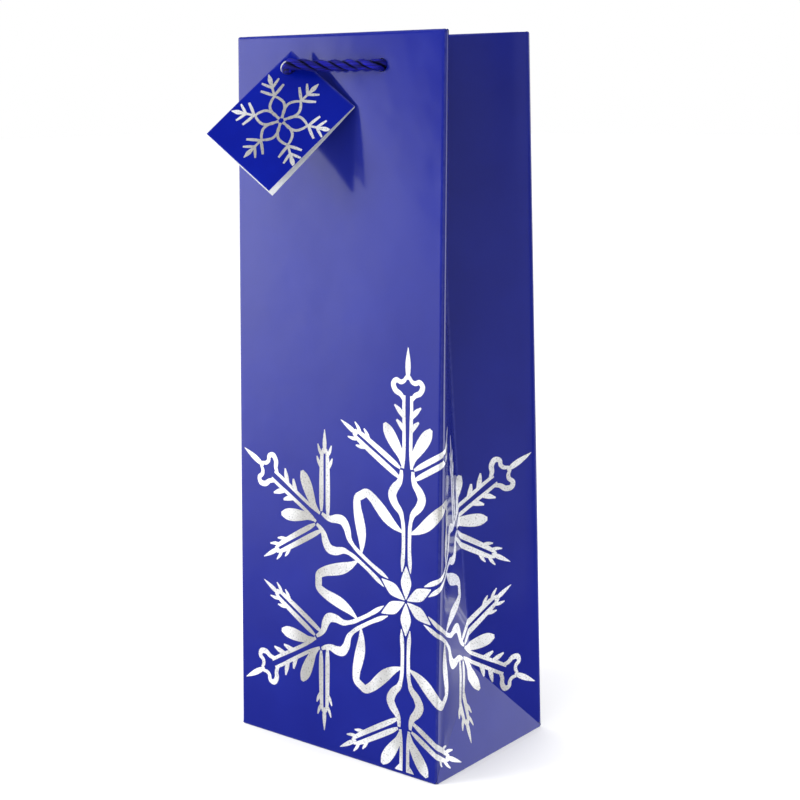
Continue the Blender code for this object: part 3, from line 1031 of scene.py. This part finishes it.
def knotLine(way, x, mirror):
    # an overhand knot pulled tight, just under the tail's end
    points = [Vector((0.0, 0.0, 0.0)), Vector((0.0, -0.0012, 0.0))]
    for i in range(33):
        t = math.pi + 0.42 + (2 * math.pi - 0.84) * i / 32
        points.append(Vector((knot["size"] * (math.sin(t) + 2 * math.sin(2 * t)),
                              -knot["size"] * (math.cos(t) - 2 * math.cos(2 * t)) - knot["drop"],
                              -knot["rise"] * math.sin(3 * t))))
    last = points[-1]
    points.append(last + Vector((0.0022, 0.0008, 0.0009)))
    points.append(last + Vector((0.0046, -0.0004, 0.0016)))
    low = rope["holeHeight"] + tail[0][1]
    spots = [turned(panelPoint(x + mirror * p.x, low + p.y, tail[0][2] + p.z), way) for p in points]
    return evenLine(smoothLine(spots, 6), 0.0005)[0]


for side, way, span in (("front", 1, frontSpan), ("back", -1, backSpan)):
    left = [(x - holeX, y, z) for x, y, z in tail]
    right = [(holeX - x, y, z) for x, y, z in reversed(tail)]
    route = [panelPoint(x, rope["holeHeight"] + y, z) for x, y, z in left + span + right]
    line, length = evenLine([turned(p, way) for p in smoothLine(route, 20)], rope["step"])
    handle = twistedRope(f"{side}_rope_handle", line, rope["radius"], rope["twistLength"])
    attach(handle, f"{side}_side")
    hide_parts(f"{side}_handle_rope")
    for end, x in (("left", -holeX), ("right", holeX)):
        # on the back the right knot is the one at -x in its own frame
        name = end if way > 0 else {"left": "right", "right": "left"}[end]
        tied = twistedRope(f"{side}_{name}_rope_knot", knotLine(way, x, 1 if x < 0 else -1),
                           knot["ropeRadius"], 0.014)
        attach(tied, f"{side}_side")
        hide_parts(f"{side}_{name}_knot")
    print(side, "rope", round(length * 1000), "mm long")


# ---- folded gift tag, threaded on the front rope through its punched hole

tag = {
    "foldLength": 0.0425,
    "length": 0.056,
    "card": 0.00035,
    "opens": math.radians(5.8),
    "holeRadius": 0.0038,
    "holeAlongFold": 0.005,
    "holeFromFold": 0.007,
    "bow": 0.0005,
}
foldWay = Vector((0.786, -0.600, -0.149)).normalized()
tagInward = foldWay.cross(Vector((-0.416, -0.691, 0.592))).normalized()
tagDown = tagInward.cross(foldWay)
tagCorner = Vector((-0.0207, 0.3422, 0.0077))
spineRadius = tag["card"] + bag["gap"] / 2
spineArc = spineRadius * math.pi / 2


def tagPoint(x, y, z):
    spot = tagCorner + x * foldWay + y * tagDown + z * tagInward
    return panelPoint(spot.x, spot.y, spot.z)


def tagRun(t):
    if t < spineArc:
        angle = t / spineRadius
        return (spineRadius - spineRadius * math.cos(angle), spineRadius - spineRadius * math.sin(angle),
                -math.cos(angle), -math.sin(angle))
    return spineRadius + t - spineArc, 0.0, 0.0, -1.0


def coverPlace(x, t, depth):
    y, z, outY, outZ = tagRun(t)
    z -= tag["bow"] * math.sin(math.pi * min(1.0, max(0.0, y / tag["length"]))) * 0.6
    return tagPoint(x, y - outY * depth, z - outZ * depth)


def backPlace(x, t, depth):
    y, z, outY, outZ = tagRun(t)
    y, z = y - outY * depth, 2 * spineRadius - (z - outZ * depth)
    z += tag["bow"] * math.sin(math.pi * min(1.0, max(0.0, y / tag["length"]))) * 0.5
    cosOpen = math.cos(tag["opens"])
    sinOpen = math.sin(tag["opens"])
    return tagPoint(x, y * cosOpen - z * sinOpen, y * sinOpen + z * cosOpen)


# the tag's colour is lighter along the fold and a little lighter along the cut edges
def tagEdgeLightening(x, t):
    edge = min(x, tag["foldLength"] - x, tagEnd - t)
    return max(0.9 * fade(0.0012 - t, 0.0, 0.0012), 0.35 * fade(0.0004 - edge, 0.0, 0.0004))


def tagRim(x, t):
    # the fold and the hole show the blue laminate, the other edges the cut card
    atHole = math.hypot(x - tagHole[0], t - tagHole[1]) < 1.2 * tagHole[2]
    return 0 if t < 0.0001 or atHole else 2


tagEnd = spineArc + tag["length"] - spineRadius
outline = [(0.0, 0.0), (tag["foldLength"], 0.0), (tag["foldLength"], tagEnd), (0.0, tagEnd)]
tagHole = (tag["holeAlongFold"], spineArc + tag["holeFromFold"] - spineRadius, tag["holeRadius"])
columns = [0.0004] + evenSteps(0.003, tag["foldLength"] - 0.003, 0.003) + [tag["foldLength"] - 0.0004]
rows = [spineArc * i / 4 for i in range(1, 5)] + [0.0014] + evenSteps(0.004, tagEnd - 0.003, 0.003)
rows += [tagEnd - 0.0004]
for name, place, flip, body, node in (("tag_cover_leaf", coverPlace, True, "tag_cover", "tag_front_leaf"),
                                      ("tag_rear_leaf", backPlace, False, "tag_back", "tag_back_leaf")):
    spots, faces = flatSheet(outline, columns, rows, [tagHole])
    net = squared(spots, faces)
    leaf = buildShell(name, net, place, tag["card"], [tagLaminate, whitePaper, cutEdge],
                      tagRim, tagEdgeLightening, flip=flip)
    net.free()
    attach(leaf, body)
    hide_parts(node)
print("gift tag made")


# ---- silver snowflakes: flat outlines joined, cut at the creases and laid on the paper

snowflake = {
    "centreX": 0.0443,
    "centreHeight": 0.0864,
    "lift": 0.00003,
    "foil": 0.00004,
    "grid": 0.006,
    "curveSteps": 5,
}
millimetre = 0.001
# In millimetres: out along the arm, across it and half the stroke's width
armStrokes = [
    [(38.0, 2.3, 0.8), (42.5, 3.6, 1.5), (46.5, 7.2, 2.1), (50.5, 8.8, 2.4), (54.0, 7.2, 2.2),
     (56.8, 4.8, 1.7), (60.0, 3.6, 1.2), (63.0, 3.4, 0.8)],
    [(14.0, 2.6, 0.2), (18.5, 2.2, 1.1), (25.0, 1.8, 1.0), (31.0, 1.8, 1.0), (36.0, 2.0, 1.1),
     (40.0, 2.6, 1.0)],
    [(64.0, 2.7, 0.8), (70.0, 2.1, 0.9), (84.0, 2.1, 0.95), (92.0, 2.3, 0.9), (98.5, 2.2, 0.8)],
    [(65.5, 2.6, 0.9), (69.5, 3.8, 1.8), (73.5, 6.4, 2.7), (78.0, 9.6, 3.2), (81.5, 12.0, 2.7),
     (84.2, 13.8, 0.9)],
    [(82.0, 2.4, 0.9), (84.5, 4.2, 1.2), (86.6, 6.6, 0.5)],
    [(88.5, 2.6, 0.9), (91.0, 4.8, 1.3), (93.6, 7.8, 0.4)],
    [(96.5, 2.3, 0.9), (98.9, 4.3, 1.2), (100.4, 7.2, 1.4), (103.4, 8.6, 1.4), (105.4, 6.8, 1.2),
     (104.6, 4.2, 1.1), (105.4, 2.2, 1.0), (107.6, 0.8, 0.7)],
    [(33.2, 2.6, 0.5), (35.6, 7.4, 1.9), (38.9, 12.0, 2.9), (43.0, 16.4, 2.9), (46.8, 20.6, 2.4),
     (48.9, 24.6, 2.1), (47.55, 27.45, 2.1)],
]
branchRoot = Vector((60.5, 2.6))
branchStrokes = [  # out along the side branch, across it, half width
    [(0.5, 2.1, 0.6), (5.0, 2.1, 1.25), (24.0, 2.0, 1.25), (31.0, 1.7, 1.0), (34.5, 1.0, 0.5)],
    [(3.0, -2.1, 0.6), (7.0, -2.1, 1.25), (24.0, -2.0, 1.25), (31.0, -1.7, 1.0), (34.5, -1.0, 0.5)],
    [(25.0, 2.4, 0.8), (27.6, 3.9, 0.9), (30.2, 5.0, 0.3)],
    [(25.0, -2.4, 0.8), (27.6, -3.9, 0.9), (30.2, -5.0, 0.3)],
    [(31.0, 1.9, 0.8), (33.4, 3.3, 0.85), (36.4, 4.4, 0.3)],
    [(31.0, -1.9, 0.8), (33.4, -3.3, 0.85), (36.4, -4.4, 0.3)],
    [(32.0, 0.0, 0.4), (36.0, 0.0, 1.2), (40.0, 0.0, 0.9), (44.0, 0.0, 0.15)],
]
middleStrokes = [  # on the arm's own line
    [(1.0, 0.0, 0.2), (5.0, 0.0, 2.0), (9.0, 0.0, 3.1), (13.0, 0.0, 2.0), (17.0, 0.0, 0.2)],
    [(106.0, 0.0, 0.4), (109.0, 0.0, 1.3), (113.0, 0.0, 1.5), (117.0, 0.0, 1.0), (121.0, 0.0, 0.15)],
]
tagPairs = [
    [(1.2, 0.3, 0.45), (4.2, 2.6, 0.62), (8.2, 3.4, 0.62), (11.0, 1.9, 0.62), (12.8, 0.1, 0.5)],
    [(13.4, 0.2, 0.6), (15.2, 2.8, 0.72), (17.4, 5.6, 0.5)],
    [(17.4, 0.2, 0.55), (19.2, 2.2, 0.65), (21.0, 4.2, 0.4)],
]
tagMiddle = [
    [(12.0, 0.0, 0.6), (16.0, 0.0, 0.55), (19.5, 0.0, 0.8), (21.5, 0.0, 1.1), (24.5, 0.0, 0.15)],
]


def strokeOutline(points):
    line = smoothLine(points, snowflake["curveSteps"])
    left = []
    right = []
    for i, spot in enumerate(line):
        before = line[max(0, i - 1)]
        after = line[min(len(line) - 1, i + 1)]
        way = Vector((after.x - before.x, after.y - before.y)).normalized()
        half = max(0.05, spot.z)
        left.append(Vector((spot.x - way.y * half, spot.y + way.x * half)))
        right.append(Vector((spot.x + way.y * half, spot.y - way.x * half)))
    return left + right[::-1]


def onBranch(points):
    way = Vector((0.5, math.sqrt(0.75)))
    side = Vector((-math.sqrt(0.75), 0.5))
    spots = []
    for along, across, half in points:
        spot = branchRoot + along * way + across * side
        spots.append((spot.x, spot.y, half))
    return spots


def sixArms(pairs, middles, centre):
    outlines = []
    shapes = [strokeOutline(p) for p in pairs]
    shapes += [[Vector((p.x, -p.y)) for p in shape] for shape in shapes]
    shapes += [strokeOutline(p) for p in middles]
    for arm in range(6):
        angle = math.radians(90 + 60 * arm)
        out = Vector((math.cos(angle), math.sin(angle)))
        side = Vector((-math.sin(angle), math.cos(angle)))
        for shape in shapes:
            outlines.append([centre + millimetre * (p.x * out + p.y * side) for p in shape])
    return outlines


def joinedNet(outlines):
    # one flat net of everything that any outline covers, worked out at a scale of millimetres
    unit = 1000
    points = []
    rings = []
    for outline in outlines:
        rings.append(list(range(len(points), len(points) + len(outline))))
        points.extend(p * unit for p in outline)
    found = delaunay_2d_cdt(points, [], rings, 1, 1e-4)
    covers = []
    for outline in outlines:
        shape = [(p.x * unit, p.y * unit) for p in outline]
        xs = [p[0] for p in shape]
        ys = [p[1] for p in shape]
        covers.append((min(xs), max(xs), min(ys), max(ys), shape))
    net = bmesh.new()
    made = [net.verts.new((p.x / unit, p.y / unit, 0.0)) for p in found[0]]
    for face in found[2]:
        x = sum(found[0][i].x for i in face) / len(face)
        y = sum(found[0][i].y for i in face) / len(face)
        if any(left < x < right and low < y < high and insidePolygon(x, y, shape)
               for left, right, low, high, shape in covers):
            net.faces.new([made[i] for i in face])
    cleanNet(net)
    return net


def cutNet(net, spot, way, dropFar=True):
    # cuts along a line, and drops what lies beyond it unless told not to
    bmesh.ops.bisect_plane(net, geom=net.verts[:] + net.edges[:] + net.faces[:], dist=1e-7,
                           plane_co=(*spot, 0.0), plane_no=(*way, 0.0), clear_outer=dropFar)


def scoreNet(net, step):
    # extra cuts so that the foil can follow the paper
    if not net.verts:
        return
    for axis, way in ((0, (1.0, 0.0)), (1, (0.0, 1.0))):
        low = min(v.co[axis] for v in net.verts)
        high = max(v.co[axis] for v in net.verts)
        for i in range(1, int((high - low) / step) + 1):
            spot = [0.0, 0.0]
            spot[axis] = low + i * step
            cutNet(net, spot, way, dropFar=False)


def layFoil(name, net, place, flip=False):
    foil = buildShell(name, net, lambda x, y, depth: place(x, y, depth - snowflake["foil"] - snowflake["lift"]),
                      snowflake["foil"], [silverFoil, silverFoil], lambda x, y: 0, lambda x, y: 0.0, flip=flip)
    net.free()
    return foil


centre = Vector((snowflake["centreX"], snowflake["centreHeight"]))
pairs = armStrokes + [onBranch(stroke) for stroke in branchStrokes]
whole = joinedNet(sixArms(pairs, middleStrokes, centre))
print("snowflake outline joined,", len(whole.faces), "faces")

net = whole.copy()
cutNet(net, (halfWidth + wrap, 0.0), (1.0, 0.0))
cutNet(net, (-halfWidth + 0.0004, 0.0), (-1.0, 0.0))
cutNet(net, (0.0, 0.0016), (0.0, -1.0))
scoreNet(net, snowflake["grid"])
for i in range(9):  # close cuts over the corner's rounding
    cutNet(net, (halfWidth - wrap + 2 * wrap * i / 8, 0.0), (1.0, 0.0), dropFar=False)
frontPlace = bigPlace(1)
foil = layFoil("front_snowflake_foil", net, lambda x, s, depth: frontPlace(x, runAt(s), depth))
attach(foil, "front_side")

slant = 1 / math.sqrt(2)
sideMoved = whole.copy()
bmesh.ops.translate(sideMoved, vec=(-halfWidth, 0.0, 0.0), verts=sideMoved.verts[:])
cutNet(sideMoved, (wrap + 0.00003, 0.0), (-1.0, 0.0))
net = sideMoved.copy()
cutNet(net, (halfDepth, 0.0), (1.0, 0.0))
cutNet(net, (0.0, 0.0), (slant, -slant))
cutNet(net, (0.0, sideSheet["footStart"]), (0.0, -1.0))
scoreNet(net, snowflake["grid"])
foil = layFoil("side_snowflake_foil_front", net, sidePlace(1, 1))
followSide(foil)

net = sideMoved.copy()
cutNet(net, (halfDepth, 0.0), (-1.0, 0.0))
cutNet(net, (2 * halfDepth - wrap, 0.0), (1.0, 0.0))
cutNet(net, (2 * halfDepth, 0.0), (-slant, -slant))
scoreNet(net, snowflake["grid"])
for v in net.verts:
    v.co.x = 2 * halfDepth - v.co.x
foil = layFoil("side_snowflake_foil_rear", net, sidePlace(1, -1))
followSide(foil)

net = sideMoved
cutNet(net, (0.0, 0.0), (-slant, slant))
cutNet(net, (2 * halfDepth, 0.0), (slant, slant))
cutNet(net, (0.0, 0.0005), (0.0, -1.0))
rightFoot = footPlace(1)
if net.faces:
    foil = layFoil("foot_snowflake_foil", net, lambda u, v, depth: rightFoot(u - halfDepth, v, depth))
    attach(foil, "bag_base")
whole.free()

middle = Vector((tag["foldLength"] * 0.515, spineArc + tag["length"] * 0.5 - spineRadius))
net = joinedNet(sixArms(tagPairs, tagMiddle, middle))
cutNet(net, (tag["foldLength"] - 0.0003, 0.0), (1.0, 0.0))
cutNet(net, (0.0003, 0.0), (-1.0, 0.0))
scoreNet(net, 0.005)
foil = layFoil("tag_snowflake_foil", net, coverPlace, flip=True)
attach(foil, "tag_cover")
print("foil laid")


# ---- floor, light and camera

studio = {
    "keyPower": 12.5,
    "footPower": 0.16,
    "sky": 1.5,
    "skyStarts": 0.40,
    "floorTone": (0.93, 0.93, 0.94),
}


def makeFloor():
    mesh = bpy.data.meshes.new("studio_floor")
    reach = 9.0
    low = -0.0002  # just under the bag
    corners = [(-reach, -reach, low), (reach, -reach, low), (reach, reach, low), (-reach, reach, low)]
    mesh.from_pydata(corners, [], [(0, 1, 2, 3)])
    floor = bpy.data.objects.new("studio_floor", mesh)
    bpy.context.scene.collection.objects.link(floor)
    material, shader = newMaterial("paleFloor")
    coords = objectCoords(material)
    soft = noiseOf(material, coords, 3.0, 2.0)
    tone = ramp(material, soft, [(0.3, studio["floorTone"]), (0.7, (0.95, 0.95, 0.955))])
    dress(material, shader, tone, soft, 0.75, 0.85)
    shader.inputs["Specular IOR Level"].default_value = 0.2
    mesh.materials.append(material)
    floor.visible_glossy = False


def addLight(name, place, target, width, height, power):
    light = bpy.data.lights.new(name, "AREA")
    light.shape = "RECTANGLE"
    light.size = width
    light.size_y = height
    light.energy = power
    item = bpy.data.objects.new(name, light)
    bpy.context.scene.collection.objects.link(item)
    item.location = place
    item.rotation_euler = (Vector(target) - Vector(place)).to_track_quat("-Z", "Y").to_euler()
    item.visible_camera = False
    item.visible_glossy = False


def makeWorld():
    # light from overhead, and soft cards that only show as reflections
    world = bpy.data.worlds.new("paleRoom")
    bpy.context.scene.world = world
    world.use_nodes = True
    nodes = world.node_tree.nodes
    links = world.node_tree.links
    nodes.clear()
    coords = nodes.new("ShaderNodeTexCoord")

    def along(way, low, high, first, last):
        dot = nodes.new("ShaderNodeVectorMath")
        dot.operation = "DOT_PRODUCT"
        dot.inputs[1].default_value = way
        links.new(coords.outputs["Generated"], dot.inputs[0])
        span = nodes.new("ShaderNodeMapRange")
        span.interpolation_type = "SMOOTHSTEP"
        for key, value in (("From Min", low), ("From Max", high), ("To Min", first), ("To Max", last)):
            span.inputs[key].default_value = value
        links.new(dot.outputs["Value"], span.inputs["Value"])
        return span.outputs["Result"]

    def joined(kind, first, second):
        node = nodes.new("ShaderNodeMath")
        node.operation = kind
        for socket, value in zip(node.inputs, (first, second)):
            if isinstance(value, bpy.types.NodeSocket):
                links.new(value, socket)
            else:
                socket.default_value = value
        return node.outputs[0]

    def background(strength):
        node = nodes.new("ShaderNodeBackground")
        node.inputs["Color"].default_value = (1.0, 1.0, 1.0, 1.0)
        if isinstance(strength, bpy.types.NodeSocket):
            links.new(strength, node.inputs["Strength"])
        else:
            node.inputs["Strength"].default_value = strength
        return node.outputs[0]

    def mixed(factor, first, second):
        node = nodes.new("ShaderNodeMixShader")
        links.new(factor, node.inputs[0])
        links.new(first, node.inputs[1])
        links.new(second, node.inputs[2])
        return node.outputs[0]

    frontCard = joined("MULTIPLY", along((0.0, 0.0, 1.0), -0.33, -0.02, 0.0, 2.7),
                       along((0.766, -0.643, 0.0), -0.10, 0.05, 1.0, 0.5))
    frontCard = joined("MULTIPLY", frontCard, along((0.613, -0.514, 0.600), 0.020, 0.085, 1.0, 0.0))
    frontCard = joined("MULTIPLY", frontCard, along((-0.765, -0.642, 0.05), 0.80, 0.92, 0.0, 1.0))
    backCard = along((0.42, 0.90, -0.05), 0.848, 0.985, 0.0, 1.7)
    rightCard = along((0.95, -0.25, -0.10), 0.80, 0.99, 0.0, 0.35)
    glow = joined("ADD", joined("ADD", frontCard, backCard), joined("ADD", rightCard, 0.03))
    sky = along((0.0, 0.0, 1.0), studio["skyStarts"] - 0.15, studio["skyStarts"] + 0.15, 0.0, studio["sky"])
    path = nodes.new("ShaderNodeLightPath")
    room = mixed(path.outputs["Is Glossy Ray"], background(sky), background(glow))
    room = mixed(path.outputs["Is Camera Ray"], room, background(1.0))
    output = nodes.new("ShaderNodeOutputWorld")
    links.new(room, output.inputs[0])


camera = {
    "place": (0.4930, -0.6044, 0.3238),
    "lens": 71.6,
    "yaw": 38.710,
    "down": 11.045,
    "roll": -0.748,
}


def makeCamera():
    data = bpy.data.cameras.new("studioCamera")
    data.lens = camera["lens"]
    data.sensor_width = 36.0
    item = bpy.data.objects.new("studioCamera", data)
    bpy.context.scene.collection.objects.link(item)
    yaw, down, roll = [math.radians(camera[key]) for key in ("yaw", "down", "roll")]
    ahead = Matrix.Rotation(yaw, 3, "Z") @ Matrix.Rotation(math.pi / 2 - down, 3, "X")
    item.matrix_world = Matrix.Translation(camera["place"]) @ (ahead @ Matrix.Rotation(roll, 3, "Z")).to_4x4()
    bpy.context.scene.camera = item


makeFloor()
makeWorld()
addLight("keySoftbox", (-0.72, -0.85, 0.50), (0.0, 0.0, 0.19), 0.6, 0.6, studio["keyPower"])
addLight("footSoftbox", (0.235, 0.075, 0.035), (0.06, 0.010, 0.015), 0.05, 0.05, studio["footPower"])
makeCamera()
bpy.context.scene.view_settings.view_transform = "Standard"
print("studio made")
